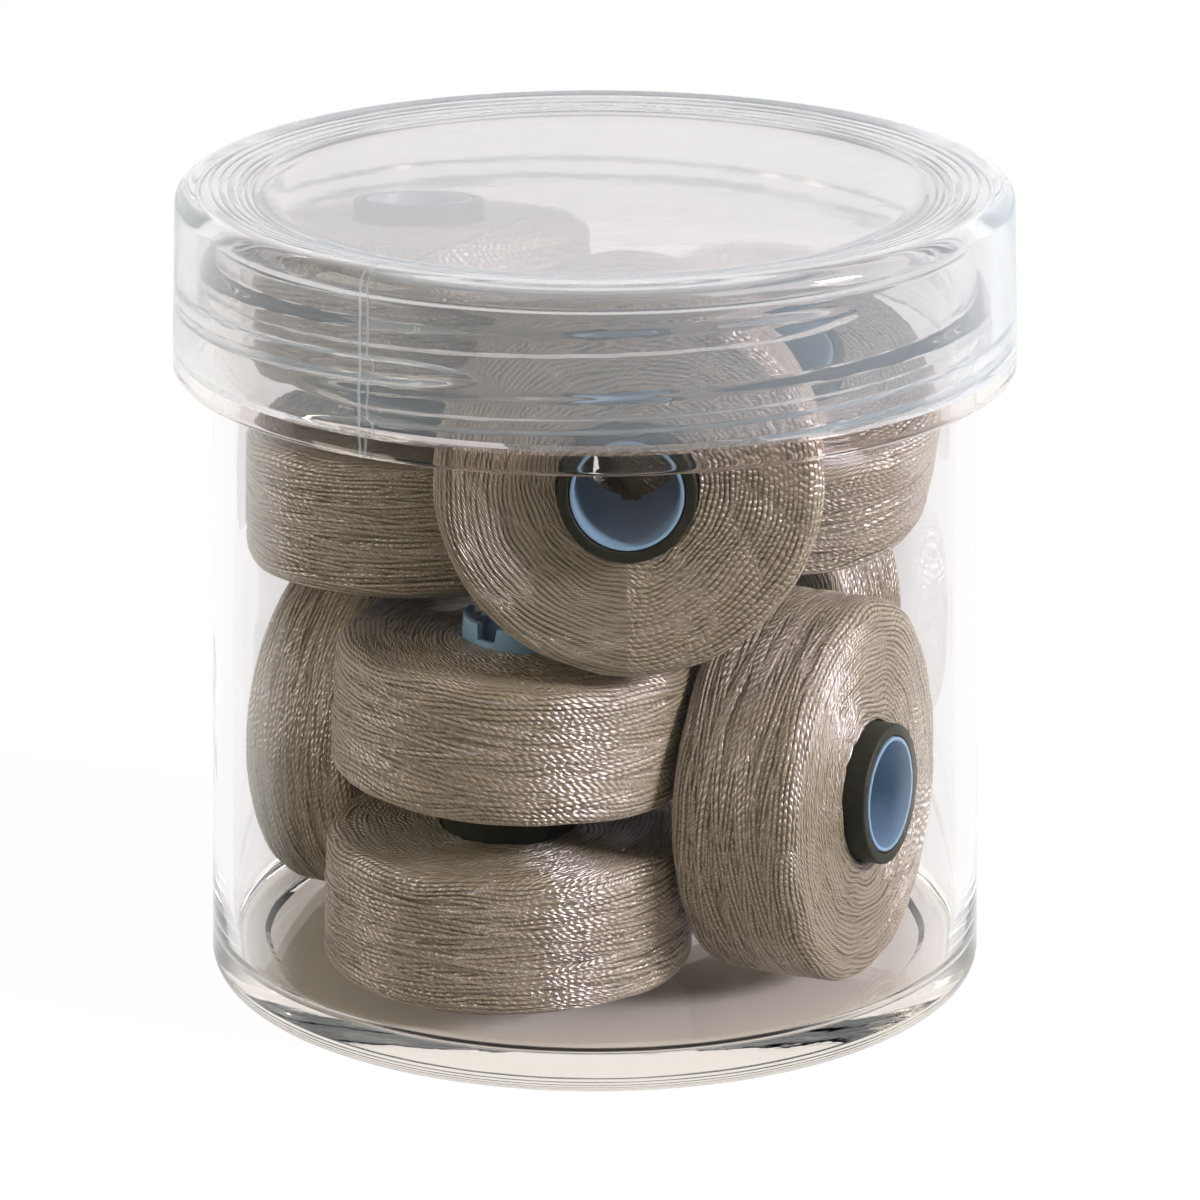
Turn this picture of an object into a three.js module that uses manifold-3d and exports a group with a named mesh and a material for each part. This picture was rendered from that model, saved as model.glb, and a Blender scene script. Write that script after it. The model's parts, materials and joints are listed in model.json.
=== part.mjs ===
// A round screw-lid jar holding nine sideless pre-wound bobbins. Millimetres, +Z up.
// The origin is the centre of the jar's flat underside.
import * as THREE from "three";
import { mergeVertices } from "three/addons/utils/BufferGeometryUtils.js";
import Module from "manifold-3d";

const wasm = await Module();
wasm.setup();

// ---- driving dimensions -------------------------------------------------------------------------
const JAR_RADIUS = 26.7;
const JAR_WALL = 1.4;
const JAR_HEIGHT = 51.6;
const FLOOR_HEIGHT = 2.0;
const FLOOR_STEP_RADIUS = 22.7;
const FLOOR_STEP_HEIGHT = 0.4;
const FLOOR_FILLET = 1.0;
const FLOOR_STEP_SLOPE = 0.3;
const BASE_EDGE_ROUND = 1.5;
const MOUTH_OUTER_BEVEL = 0.4;
const MOUTH_INNER_BEVEL = 0.3;

const LID_TOP = 54.0;
const LID_BOTTOM = 41.6;
const LID_RADIUS_BOTTOM = 29.5;
const LID_RADIUS_TOP = 29.4;
const LID_INNER_RADIUS = 28.0;
const LID_PANEL_TOP = 53.3;
const LID_PANEL_UNDERSIDE = 52.2;
const LID_PANEL_RADIUS = 23.4;
const LID_CROWN_RADIUS = 28.4;
const LID_CROWN_INNER = 27.4;
const LID_CROWN_SAG = 0.05;
const LID_SLOPE_RADIUS = 25.2;
const LID_SLOPE_DROP = 0.35;
const LID_SHOULDER = 1.1;
const LID_EDGE = 0.3;
const LID_INNER_CHAMFER = 0.5;
const LID_RIM_THICKNESS = 0.9;
const LID_LIP_RADIUS = 28.4;
const LID_LIP_HEIGHT = 1.6;
const LID_LIP_STEP = 0.4;

const LINER_THICKNESS = 0.4;
const LINER_RADIUS = 27.2;
const LINER_GAP = 0.1;

const THREAD_PITCH = 4.2;
const THREAD_STAND = 1.0;
const THREAD_ROOT_HALF = 1.0;
const THREAD_CREST_HALF = 0.45;
const THREAD_EMBED = 0.25;
const THREAD_FADE = 0.35;
const THREAD_END_STAND = 0.25;
const JAR_THREAD_START = 45.0;
const JAR_THREAD_TURNS = 1.25;
const JAR_THREAD_ANGLE = -2.4;
const LID_THREAD_TURNS = 1.1;

const WINDING_WIDTH = 9.2;
const WINDING_EDGE = 0.9;
const CORE_RADIUS = 4.0;
const CORE_BORE = 3.5;
const COLLAR_STAND = 1.4;
const NOTCH_COUNT = 4;
const NOTCH_WIDTH = 1.5;
const NOTCH_DEPTH = 1.0;
const CORE_SEAT_RADIUS = 3.75;
const MAGNET_RADIUS = 4.6;
const MAGNET_STAND = 1.4;
const MAGNET_LENGTH = 3.0;
const SEAT_GAP = 0.08;

const ROUND_JAR = 60;
const ROUND_WINDING = 28;
const ROUND_CORE = 20;

// Each bobbin: centre, then where its magnet end points (azimuth and elevation in degrees), its own
// turn about its axis in degrees, and how full it is wound (radius).
const BOBBINS = [
  { at: [2.3, -15.7, 38.4], azimuth: -92, elevation: 0, spin: 0, radius: 12.8 },
  { at: [-12.5, 1.7, 32.6], azimuth: -90, elevation: 89.6, spin: 40, radius: 12.4 },
  { at: [12.4, 2.6, 37.1], azimuth: -74, elevation: 66.5, spin: 15, radius: 12.15 },
  { at: [10.05, 13.89, 21.23], azimuth: 57.5, elevation: 6.8, spin: 70, radius: 12.3 },
  { at: [14.5, -8.2, 14.9], azimuth: -27, elevation: 0, spin: 20, radius: 12.6 },
  { at: [-15.3, 8.8, 14.4], azimuth: 151, elevation: 0, spin: 55, radius: 12.2 },
  { at: [-5.3, -8.8, 20.5], azimuth: 180, elevation: -87, spin: 36, radius: 12.4 },
  { at: [-5.8, -9.6, 8.1], azimuth: 0, elevation: 90, spin: 10, radius: 12.4 },
  { at: [-12.4, 2.2, 45.12], azimuth: 90, elevation: 83.2, spin: 62, radius: 12.2 },
];

// ---- derived dimensions -------------------------------------------------------------------------
const JAR_INNER = JAR_RADIUS - JAR_WALL;
const LINER_BOTTOM = JAR_HEIGHT + LINER_GAP;
const LID_THREAD_DROP = THREAD_PITCH / 2;
const HALF_WIDTH = WINDING_WIDTH / 2;

// ---- materials ----------------------------------------------------------------------------------
function material(color, roughness, metalness = 0) {
  return new THREE.MeshStandardMaterial({ color, roughness, metalness });
}

function clearJarMaterial() {
  const clear = material("#ece8e6", 0.08);
  clear.transparent = true;
  clear.opacity = 0.3;
  return clear;
}

function milkyLidMaterial() {
  const milky = material("#e4dfe1", 0.25);
  milky.transparent = true;
  milky.opacity = 0.5;
  return milky;
}

function linerMaterial() {
  const clear = material("#f0eeee", 0.2);
  clear.transparent = true;
  clear.opacity = 0.25;
  return clear;
}

const threadMaterial = () => material("#a3978a", 0.6);
const coreMaterial = () => material("#6f8bab", 0.4);
const magnetMaterial = () => material("#26261f", 0.55);

// ---- shape helpers ------------------------------------------------------------------------------
// Turns [radius, height] pairs into a solid of revolution about Z.
function revolve(profile, segments) {
  const points = profile.map(([r, z]) => new THREE.Vector2(r, z));
  const geometry = new THREE.LatheGeometry(points, segments);
  geometry.rotateX(Math.PI / 2);
  return geometry;
}

function toManifold(geometry) {
  const plain = geometry.clone();
  plain.deleteAttribute("normal");
  plain.deleteAttribute("uv");
  const merged = mergeVertices(plain, 1e-5);
  const mesh = new wasm.Mesh({
    numProp: 3,
    vertProperties: new Float32Array(merged.attributes.position.array),
    triVerts: new Uint32Array(merged.index.array),
  });
  mesh.merge();
  return new wasm.Manifold(mesh);
}

function toGeometry(solid) {
  const { vertProperties, triVerts } = solid.getMesh();
  const geometry = new THREE.BufferGeometry();
  geometry.setAttribute("position", new THREE.BufferAttribute(new Float32Array(vertProperties), 3));
  geometry.setIndex(new THREE.BufferAttribute(new Uint32Array(triVerts), 1));
  geometry.computeVertexNormals();
  return geometry;
}

// A right-handed helical ridge. root and crest are its radii, and z is the height of its lower end.
// It fades towards the root over THREAD_FADE radians at both ends.
function helicalRidge(root, crest, z, angle, turns) {
  const steps = Math.round(ROUND_JAR * turns);
  const sweep = 2 * Math.PI * turns;
  const geometry = new THREE.BoxGeometry(1, 1, 1, steps, 1, 1);
  const position = geometry.attributes.position;
  for (let i = 0; i < position.count; i += 1) {
    const along = position.getX(i) + 0.5;
    const side = Math.sign(position.getY(i));
    const atCrest = position.getZ(i) > 0;
    const fade = Math.min(1, (Math.min(along, 1 - along) * sweep) / THREAD_FADE);
    const half = atCrest ? THREAD_CREST_HALF : THREAD_ROOT_HALF;
    const stand = atCrest ? (crest - root) * (THREAD_END_STAND + (1 - THREAD_END_STAND) * fade) : 0;
    const turn = angle + along * sweep;
    const radius = root + stand;
    const height = z + along * turns * THREAD_PITCH + side * half;
    position.setXYZ(i, radius * Math.cos(turn), radius * Math.sin(turn), height);
  }
  return geometry;
}

function solidFrom(geometry) {
  const solid = toManifold(geometry);
  return solid.volume() < 0 ? toManifold(flipped(geometry)) : solid;
}

function flipped(geometry) {
  const turned = geometry.clone();
  const order = turned.index.array;
  for (let i = 0; i < order.length; i += 3) {
    [order[i], order[i + 1]] = [order[i + 1], order[i]];
  }
  return turned;
}

function named(name, geometry, look) {
  const mesh = new THREE.Mesh(geometry, look);
  mesh.name = name;
  return mesh;
}

// ---- jar ----------------------------------------------------------------------------------------
function jarShell() {
  const corner = JAR_RADIUS - BASE_EDGE_ROUND;
  const rounding = [15, 45, 75].map((degrees) => {
    const a = THREE.MathUtils.degToRad(degrees);
    return [
      corner + BASE_EDGE_ROUND * Math.sin(a),
      BASE_EDGE_ROUND - BASE_EDGE_ROUND * Math.cos(a),
    ];
  });
  const stepTop = FLOOR_HEIGHT + FLOOR_STEP_HEIGHT;
  return revolve(
    [
      [0, 0],
      [corner, 0],
      ...rounding,
      [JAR_RADIUS, BASE_EDGE_ROUND],
      [JAR_RADIUS, JAR_HEIGHT - MOUTH_OUTER_BEVEL],
      [JAR_RADIUS - MOUTH_OUTER_BEVEL, JAR_HEIGHT],
      [JAR_INNER + MOUTH_INNER_BEVEL, JAR_HEIGHT],
      [JAR_INNER, JAR_HEIGHT - MOUTH_INNER_BEVEL],
      [JAR_INNER, stepTop + FLOOR_FILLET],
      [JAR_INNER - FLOOR_FILLET, stepTop],
      [FLOOR_STEP_RADIUS + FLOOR_STEP_SLOPE, stepTop],
      [FLOOR_STEP_RADIUS, FLOOR_HEIGHT],
      [0, FLOOR_HEIGHT],
    ],
    ROUND_JAR,
  );
}

function jar() {
  const ridge = helicalRidge(
    JAR_RADIUS - THREAD_EMBED,
    JAR_RADIUS + THREAD_STAND,
    JAR_THREAD_START,
    JAR_THREAD_ANGLE,
    JAR_THREAD_TURNS,
  );
  const solid = solidFrom(jarShell()).add(solidFrom(ridge));
  return named("jar_body", toGeometry(solid), clearJarMaterial());
}

// ---- lid ----------------------------------------------------------------------------------------
function lidShell() {
  return revolve(
    [
      [0, LID_PANEL_UNDERSIDE],
      [LID_PANEL_RADIUS - LID_INNER_CHAMFER, LID_PANEL_UNDERSIDE],
      [LID_SLOPE_RADIUS - LID_INNER_CHAMFER, LID_TOP - LID_SLOPE_DROP - LID_RIM_THICKNESS],
      [LID_INNER_RADIUS - LID_INNER_CHAMFER, LID_TOP - LID_RIM_THICKNESS],
      [LID_INNER_RADIUS, LID_TOP - LID_RIM_THICKNESS - LID_INNER_CHAMFER],
      [LID_INNER_RADIUS, LID_BOTTOM + LID_LIP_HEIGHT],
      [LID_LIP_RADIUS, LID_BOTTOM + LID_LIP_HEIGHT - LID_LIP_STEP],
      [LID_LIP_RADIUS, LID_BOTTOM],
      [LID_RADIUS_BOTTOM - LID_EDGE, LID_BOTTOM],
      [LID_RADIUS_BOTTOM, LID_BOTTOM + LID_EDGE],
      [LID_RADIUS_TOP, LID_TOP - LID_SHOULDER],
      [LID_RADIUS_TOP - LID_EDGE, LID_TOP - LID_LIP_STEP],
      [LID_CROWN_RADIUS, LID_TOP],
      [LID_CROWN_INNER, LID_TOP - LID_CROWN_SAG],
      [LID_SLOPE_RADIUS, LID_TOP - LID_SLOPE_DROP],
      [LID_PANEL_RADIUS, LID_PANEL_TOP],
      [0, LID_PANEL_TOP],
    ],
    ROUND_JAR,
  );
}

function lid() {
  const ridge = helicalRidge(
    LID_INNER_RADIUS + THREAD_EMBED,
    LID_INNER_RADIUS - THREAD_STAND,
    JAR_THREAD_START - LID_THREAD_DROP,
    JAR_THREAD_ANGLE,
    LID_THREAD_TURNS,
  );
  const solid = solidFrom(lidShell()).add(solidFrom(ridge));
  return named("lid", toGeometry(solid), milkyLidMaterial());
}

function liner() {
  const disc = revolve(
    [
      [0, LINER_BOTTOM],
      [LINER_RADIUS, LINER_BOTTOM],
      [LINER_RADIUS, LINER_BOTTOM + LINER_THICKNESS],
      [0, LINER_BOTTOM + LINER_THICKNESS],
    ],
    ROUND_JAR,
  );
  return named("lid_liner", disc, linerMaterial());
}

// ---- bobbins, built along Z with the magnet end up and centred on the winding --------------------
function winding(name, radius) {
  const seat = MAGNET_RADIUS + SEAT_GAP;
  const bore = CORE_RADIUS + SEAT_GAP;
  const seatFloor = HALF_WIDTH + MAGNET_STAND - MAGNET_LENGTH - SEAT_GAP;
  const shape = revolve(
    [
      [bore, -HALF_WIDTH],
      [radius - WINDING_EDGE, -HALF_WIDTH],
      [radius, -HALF_WIDTH + WINDING_EDGE],
      [radius, HALF_WIDTH - WINDING_EDGE],
      [radius - WINDING_EDGE, HALF_WIDTH],
      [seat, HALF_WIDTH],
      [seat, seatFloor],
      [bore, seatFloor],
      [bore, -HALF_WIDTH],
    ],
    ROUND_WINDING,
  );
  return named(name, shape, threadMaterial());
}

// The core is turned down at its top end, where the magnet sits on it.
function core(name) {
  const bottom = -HALF_WIDTH - COLLAR_STAND;
  const top = HALF_WIDTH + MAGNET_STAND;
  const shoulder = top - MAGNET_LENGTH - SEAT_GAP;
  const tube = revolve(
    [
      [CORE_BORE, bottom],
      [CORE_RADIUS, bottom],
      [CORE_RADIUS, shoulder],
      [CORE_SEAT_RADIUS, shoulder],
      [CORE_SEAT_RADIUS, top],
      [CORE_BORE, top],
      [CORE_BORE, bottom],
    ],
    ROUND_CORE,
  );
  let solid = solidFrom(tube);
  for (let i = 0; i < NOTCH_COUNT; i += 1) {
    const cutter = new THREE.BoxGeometry(CORE_RADIUS, NOTCH_WIDTH, NOTCH_DEPTH * 2);
    cutter.translate(CORE_RADIUS, 0, bottom);
    cutter.rotateZ((2 * Math.PI * i) / NOTCH_COUNT);
    solid = solid.subtract(solidFrom(cutter));
  }
  return named(name, toGeometry(solid), coreMaterial());
}

function magnet(name) {
  const top = HALF_WIDTH + MAGNET_STAND;
  const bore = CORE_SEAT_RADIUS + SEAT_GAP;
  const ring = revolve(
    [
      [bore, top - MAGNET_LENGTH],
      [MAGNET_RADIUS, top - MAGNET_LENGTH],
      [MAGNET_RADIUS, top],
      [bore, top],
      [bore, top - MAGNET_LENGTH],
    ],
    ROUND_CORE,
  );
  return named(name, ring, magnetMaterial());
}

function bobbin(number, place) {
  const label = String(number).padStart(2, "0");
  const group = new THREE.Group();
  group.name = `bobbin_${label}`;
  group.add(core(`core_${label}`));
  group.add(magnet(`magnet_${label}`));
  group.add(winding(`winding_${label}`, place.radius));
  const azimuth = THREE.MathUtils.degToRad(place.azimuth);
  const polar = THREE.MathUtils.degToRad(90 - place.elevation);
  const spin = THREE.MathUtils.degToRad(place.spin);
  group.position.set(...place.at);
  group.rotation.set(0, polar, azimuth, "ZYX");
  group.children.forEach((piece) => piece.rotateZ(spin));
  return group;
}

// ---- assembly -----------------------------------------------------------------------------------
const assembly = new THREE.Group();
assembly.name = "bobbin_jar";
assembly.add(jar());
assembly.add(liner());
assembly.add(lid());
BOBBINS.forEach((place, i) => assembly.add(bobbin(i + 1, place)));

export default assembly;
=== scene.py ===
import json
import math

import bpy
import numpy as np
from mathutils import Matrix, Vector


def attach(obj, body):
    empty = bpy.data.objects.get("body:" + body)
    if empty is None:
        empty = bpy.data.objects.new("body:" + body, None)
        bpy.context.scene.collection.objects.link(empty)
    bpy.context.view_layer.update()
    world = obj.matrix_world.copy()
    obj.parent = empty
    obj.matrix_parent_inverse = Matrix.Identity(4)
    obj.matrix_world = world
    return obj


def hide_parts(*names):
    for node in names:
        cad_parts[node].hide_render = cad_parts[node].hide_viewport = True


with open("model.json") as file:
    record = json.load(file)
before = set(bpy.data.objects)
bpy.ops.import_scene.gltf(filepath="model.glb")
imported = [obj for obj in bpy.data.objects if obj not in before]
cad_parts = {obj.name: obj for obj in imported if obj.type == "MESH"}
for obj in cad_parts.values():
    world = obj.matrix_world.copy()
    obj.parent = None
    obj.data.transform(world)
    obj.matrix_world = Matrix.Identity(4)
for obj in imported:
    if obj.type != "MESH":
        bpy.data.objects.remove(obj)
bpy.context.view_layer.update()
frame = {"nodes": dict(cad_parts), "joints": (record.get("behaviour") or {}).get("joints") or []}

MM = 0.001
TURN = 2 * math.pi

# ---- jar and lid, in millimetres -----------------------------------------------------------------
JAR_RADIUS = 26.7
JAR_INNER = 25.3
JAR_HEIGHT = 51.6
FLOOR_HEIGHT = 2.0
FLOOR_STEP_HEIGHT = 0.4
FLOOR_STEP_RADIUS = 22.7
BASE_ROUND = 1.5
FLOOR_STEP_SLOPE = 0.4
FLOOR_STEP_BEND = 0.75
FLOOR_COVE = 1.0
MOUTH_ROUND = 0.4
MOUTH_ROUND_INSIDE = 0.3
THREAD_BAND = 43.6

LID_TOP = 54.0
LID_BOTTOM = 41.6
LID_RADIUS = 29.5
LID_RADIUS_TOP = 29.4
LID_INNER = 28.0
LID_PANEL_TOP = 53.3
LID_PANEL_UNDER = 52.2
LID_PANEL_RADIUS = 23.4
LID_RIM_THICK = 0.9
LID_LIP_RADIUS = 28.4
LID_LIP_HEIGHT = 1.6
LID_LIP_SLOPE = 0.4
LID_LIP_ROUND = 0.15
LID_FOOT_ROUND = 0.35
LID_TOP_ROUND = 1.1
LID_CEILING_ROUND = 0.5
LID_CEILING_BEND = (24.7, 0.35)

# the rim's flat part, then (radius, drop) down its slope to the panel
LID_RIM_FLAT = 28.2
LID_RIM_SLOPE = ((27.4, 0.05), (25.2, 0.35))
RIM_STEP = 0.06
GROOVE_RADII = (26.9, 26.3, 25.7, 25.0, 24.5, 24.0)
GROOVE_DEPTH = 0.05
GROOVE_HALF = 0.09

LINER_RADIUS = 27.2
LINER_BOTTOM = 51.7
LINER_THICK = 0.4

THREAD_PITCH = 4.2
THREAD_STAND = 1.0
THREAD_ROOT_HALF = 1.0
THREAD_CREST_HALF = 0.4
THREAD_START = 45.0
JAR_THREAD_TURNS = 1.25
LID_THREAD_TURNS = 1.1
# where the thread starts and how soon it fades in and out, in radians, and its width at the ends
THREAD_ANGLE = -2.4
THREAD_FADE = 0.3
THREAD_END_HALF = 0.55

# columns round a turned solid, and the radius of the last ring before the axis
GLASS_COLUMNS = 320
AXIS_GAP = 0.5

# ---- bobbins, in millimetres ---------------------------------------------------------------------
HALF_WIDTH = 4.6
EDGE_ROUND = 1.15
CORE_RADIUS = 4.0
CORE_BORE = 3.5
COLLAR_STAND = 1.4
CORE_SEAT_RADIUS = 3.75
MAGNET_RADIUS = 4.6
MAGNET_STAND = 1.4
MAGNET_LENGTH = 3.0
SEAT_GAP = 0.08
NOTCH_COUNT = 4
NOTCH_WIDTH = 1.5
NOTCH_DEPTH = 1.0
NOTCH_EDGE = 0.02  # radians
CORE_LIP = 0.12
CORE_SEAT_LIP = 0.07
MAGNET_ROUND = 0.16
MAGNET_COLUMNS = 96

# (inward, along) steps of a rounded edge, in parts of its size
ROUND_STEPS = ((1.0, 0.0), (0.3, 0.3), (0.0, 1.0))

# ---- wound thread, in millimetres ----------------------------------------------------------------
STRAND_PITCH = 0.335
STRAND_RELIEF = 0.15
STRAND_DIVE = 0.035
# the strands' foot below the CAD surface, and how far anything may sink or stand from it
BASE_INSET = 0.17
DEEPEST, HIGHEST = -0.34, 0.03
# the slanted layers: where they fade out, their number of strands and how they wander and sink
EDGE_FADE = 2.4
FEWEST_CROSSINGS, MOST_CROSSINGS = 17, 24
CROSSING_WOBBLE = 0.12
CROSSING_SINK = 0.3
BUNDLE_RELIEF = 0.075
PATCH_RELIEF = 0.06
LUMP_RELIEF = 0.04

# ---- looks, in metres and radians ----------------------------------------------------------------
SLAB_CLEAR = 0.0045
SLAB_AMBER = 0.0022
LIP_CLEAR = 0.0431
LIP_MILKY = 0.0436
LIP_HAZE = 0.08
WELD_ANGLE = -2.126
WELD_HALF = 0.0035
WELD_WAVER = 0.012
WELD_MILK = 0.4
MILK_LEAST, MILK_SPREAD = 0.135, 0.06
STRAND_TWIST = 1.75
SILK = 0.42

# ---- studio brightness ---------------------------------------------------------------------------
# BACKDROP is what is seen behind the jar, SCREEN what its front mirrors, AMBIENT what lights matt
# surfaces and HAZE_LIGHT what lights the milk in the lid. The DIM values are the dark side of the
# room, towards the camera. The floor glows only outside the jar's foot.
BACKDROP = 1.02
AMBIENT = 0.24
SCREEN = 1.42
HAZE_LIGHT = 0.95
SCREEN_DIM = 0.03
DIM_SIDE, BRIGHT_SIDE = 0.15, 0.6
FLOOR_GLOW = 1.06
FLOOR_GLOW_SHARE = 0.9
FLOOR_DIM = 0.04
FOOT_INNER = 0.024
FOOT_OUTER = 0.029

# ---- studio, in metres ---------------------------------------------------------------------------
FLOOR_HALF = 3.0
FLOOR_GAP = 0.00005
CAMERA_HOME = (0.0, -0.4368, 0.1577)
CAMERA_SHIFT = {"shift_x": 0.0042, "shift_y": -1.584}
LENS = 187.2
SENSOR = 36.0
AIM = (0, 0, 0.027)
# place, width, watts, colour, whether it is mirrored in shiny surfaces
LIGHTS = {
    "key": ((0.43, -0.17, 0.215), 0.10, 3.1, (0.99, 0.97, 1.03), True),
    "fill": ((-0.50, -0.20, 0.22), 0.26, 1.35, (1.0, 0.96, 0.84), False),
}
ALL_BOUNCES = 28
GLASS_BOUNCES = 24
STRAIGHT_BOUNCES = 32

# for each bobbin: its own turn about the axis in degrees, mesh rows to a strand on its (bottom,
# side, top), mesh columns
BOBBINS = {
    "01": (0, (3.0, 5.0, 6.0), 256),
    "02": (40, (3.0, 6.0, 4.0), 250),
    "03": (15, (3.0, 5.5, 5.5), 250),
    "04": (70, (3.5, 4.5, 3.5), 220),
    "05": (20, (3.0, 6.0, 5.5), 240),
    "06": (55, (3.5, 4.5, 3.5), 220),
    "07": (36, (5.0, 6.0, 3.0), 250),
    "08": (10, (3.0, 6.0, 5.0), 250),
    "09": (62, (4.0, 4.5, 3.0), 220),
}


# ---- mesh helpers --------------------------------------------------------------------------------
def even_turns(columns):
    return np.arange(columns) * TURN / columns


def revolved(radius, height, turns):
    """Points of a turned surface, from rows x columns of radius and height and the columns'
    angles."""
    return np.stack([radius * np.cos(turns), radius * np.sin(turns), height], axis=-1)


def grid_faces(rows, columns, closed):
    """Quads of a grid that closes round its columns, and along its rows too if closed."""
    i = np.arange(rows if closed else rows - 1)[:, None]
    j = np.arange(columns)[None, :]
    after = (j + 1) % columns
    below = (i + 1) % rows
    corners = [i * columns + j, i * columns + after, below * columns + after, below * columns + j]
    return np.stack(corners, axis=-1).reshape(-1, 4)


def signed_volume(points, quads):
    a, b, c, d = (points[quads[:, k]] for k in range(4))
    return float(np.sum(a * np.cross(b, c)) + np.sum(a * np.cross(c, d))) / 6


def add_piece(name, points, faces, material, body, node, sharp=None, uv=None, tags=None):
    """A closed mesh that stands for a CAD node and rides on its body. Points are in millimetres."""
    mesh = bpy.data.meshes.new(name)
    mesh.from_pydata((points * MM).tolist(), [], faces, shade_flat=False)
    mesh.materials.append(material)
    if uv is not None:
        layer = mesh.uv_layers.new(name="Thread")
        layer.data.foreach_set("uv", uv.astype(np.float32).ravel())
    for tag, values in (tags or {}).items():
        made = mesh.attributes.new(tag, "FLOAT", "POINT")
        made.data.foreach_set("value", values.astype(np.float32).ravel())
    if sharp:
        mesh.set_sharp_from_angle(angle=math.radians(sharp))
    piece = bpy.data.objects.new(name, mesh)
    bpy.context.scene.collection.objects.link(piece)
    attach(piece, body)
    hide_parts(node)


def axis_caps(rows, columns, inside_out):
    """Triangles that close a turned grid with the two points that follow it, on the axis."""
    first, last = rows * columns, rows * columns + 1
    start = (rows - 1) * columns
    caps = []
    for j in range(columns):
        k = (j + 1) % columns
        caps += [[first, k, j], [last, start + j, start + k]]
    return [cap[::-1] for cap in caps] if inside_out else caps


def lathe(radius, height, on_axis, turns=None):
    """Points and faces of a turned solid. On the axis, its first and last rows are capped."""
    rows, columns = radius.shape
    turns = even_turns(columns) if turns is None else turns
    points = revolved(radius, height, turns).reshape(-1, 3)
    quads = grid_faces(rows, columns, not on_axis)
    inside_out = signed_volume(points, quads) < 0
    faces = (quads[:, ::-1] if inside_out else quads).tolist()
    if on_axis:
        points = np.vstack([points, [[0, 0, height[0, 0]], [0, 0, height[-1, 0]]]])
        faces += axis_caps(rows, columns, inside_out)
    return points, faces


def spread(profile, columns):
    """Rows x columns of radius and height for a profile's points."""
    radius = np.repeat([[r] for r, _ in profile], columns, axis=1).astype(float)
    height = np.repeat([[z] for _, z in profile], columns, axis=1).astype(float)
    return radius, height


def arc(centre_r, centre_z, radius, start, end, steps):
    """Points of an arc in the (radius, height) plane, angles in degrees."""
    angles = np.radians(np.linspace(start, end, steps))
    return [(centre_r + radius * math.cos(a), centre_z + radius * math.sin(a)) for a in angles]


def line(start, end, steps):
    """Points from start up to, but not including, end."""
    return [
        (start[0] + (end[0] - start[0]) * k / steps, start[1] + (end[1] - start[1]) * k / steps)
        for k in range(steps)
    ]


def smoothstep(x):
    x = np.clip(x, 0, 1)
    return x * x * (3 - 2 * x)


def ridge(turn, z, start, turns):
    """Height, from 0 to 1, of a helical screw thread at each angle and height."""
    sweep = turns * TURN
    best = np.zeros_like(z)
    for lap in range(2):
        along = np.mod(turn - THREAD_ANGLE, TURN) + lap * TURN
        inside = along <= sweep
        fade = smoothstep(np.minimum(along, sweep - along) / THREAD_FADE)
        away = np.abs(z - start - along / TURN * THREAD_PITCH)
        half = THREAD_ROOT_HALF * (THREAD_END_HALF + (1 - THREAD_END_HALF) * fade)
        rise = smoothstep((half - away) / (THREAD_ROOT_HALF - THREAD_CREST_HALF))
        best = np.maximum(best, np.where(inside, rise * fade, 0))
    return best


# ---- shader helpers ------------------------------------------------------------------------------
def new_material(name):
    material = bpy.data.materials.new(name)
    material.use_nodes = True
    material.node_tree.nodes.clear()
    return material, material.node_tree


def node(tree, kind, values=None, **settings):
    """A shader node with its settings, and its inputs as numbers or as sockets to link."""
    made = tree.nodes.new(kind)
    for key, value in settings.items():
        setattr(made, key, value)
    for key, value in (values or {}).items():
        if isinstance(value, bpy.types.NodeSocket):
            tree.links.new(value, made.inputs[key])
        else:
            made.inputs[key].default_value = value
    return made


def calc(tree, operation, *values):
    return node(tree, "ShaderNodeMath", dict(enumerate(values)), operation=operation).outputs[0]


def noise(tree, vector, scale, detail=2.0, roughness=0.5):
    values = {"Vector": vector, "Scale": scale, "Detail": detail, "Roughness": roughness}
    return node(tree, "ShaderNodeTexNoise", values).outputs["Fac"]


def ramp(tree, factor, stops):
    made = node(tree, "ShaderNodeValToRGB", {"Fac": factor})
    elements = made.color_ramp.elements
    while len(elements) < len(stops):
        elements.new(0.5)
    for element, (position, colour) in zip(elements, stops):
        element.position = position
        element.color = (*colour, 1)
    return made.outputs["Color"]


def mixed(tree, factor, first, second):
    made = node(tree, "ShaderNodeMix", {0: factor}, data_type="RGBA")
    for key, value in ((6, first), (7, second)):
        if isinstance(value, bpy.types.NodeSocket):
            tree.links.new(value, made.inputs[key])
        else:
            made.inputs[key].default_value = (*value, 1)
    return made.outputs[2]


def eased(tree, value, start, end, low=0.0, high=1.0):
    """Goes smoothly from low, where the value is at start, to high, where it is at end."""
    values = {0: value, 1: start, 2: end, 3: low, 4: high}
    made = node(tree, "ShaderNodeMapRange", values, interpolation_type="SMOOTHSTEP")
    return made.outputs[0]


def object_place(tree):
    return node(tree, "ShaderNodeTexCoord").outputs["Object"]


def split(tree, vector):
    return node(tree, "ShaderNodeSeparateXYZ", {0: vector}).outputs


def bumped(tree, height, strength, distance):
    """A normal from a height, with the distance in metres."""
    values = {"Strength": strength, "Distance": distance, "Height": height}
    return node(tree, "ShaderNodeBump", values).outputs[0]


def principled(tree, values):
    return node(tree, "ShaderNodeBsdfPrincipled", values).outputs[0]


def blend(tree, amount, first, second):
    return node(tree, "ShaderNodeMixShader", {0: amount, 1: first, 2: second}).outputs[0]


def finish_material(tree, surface):
    node(tree, "ShaderNodeOutputMaterial", {"Surface": surface})


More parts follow.
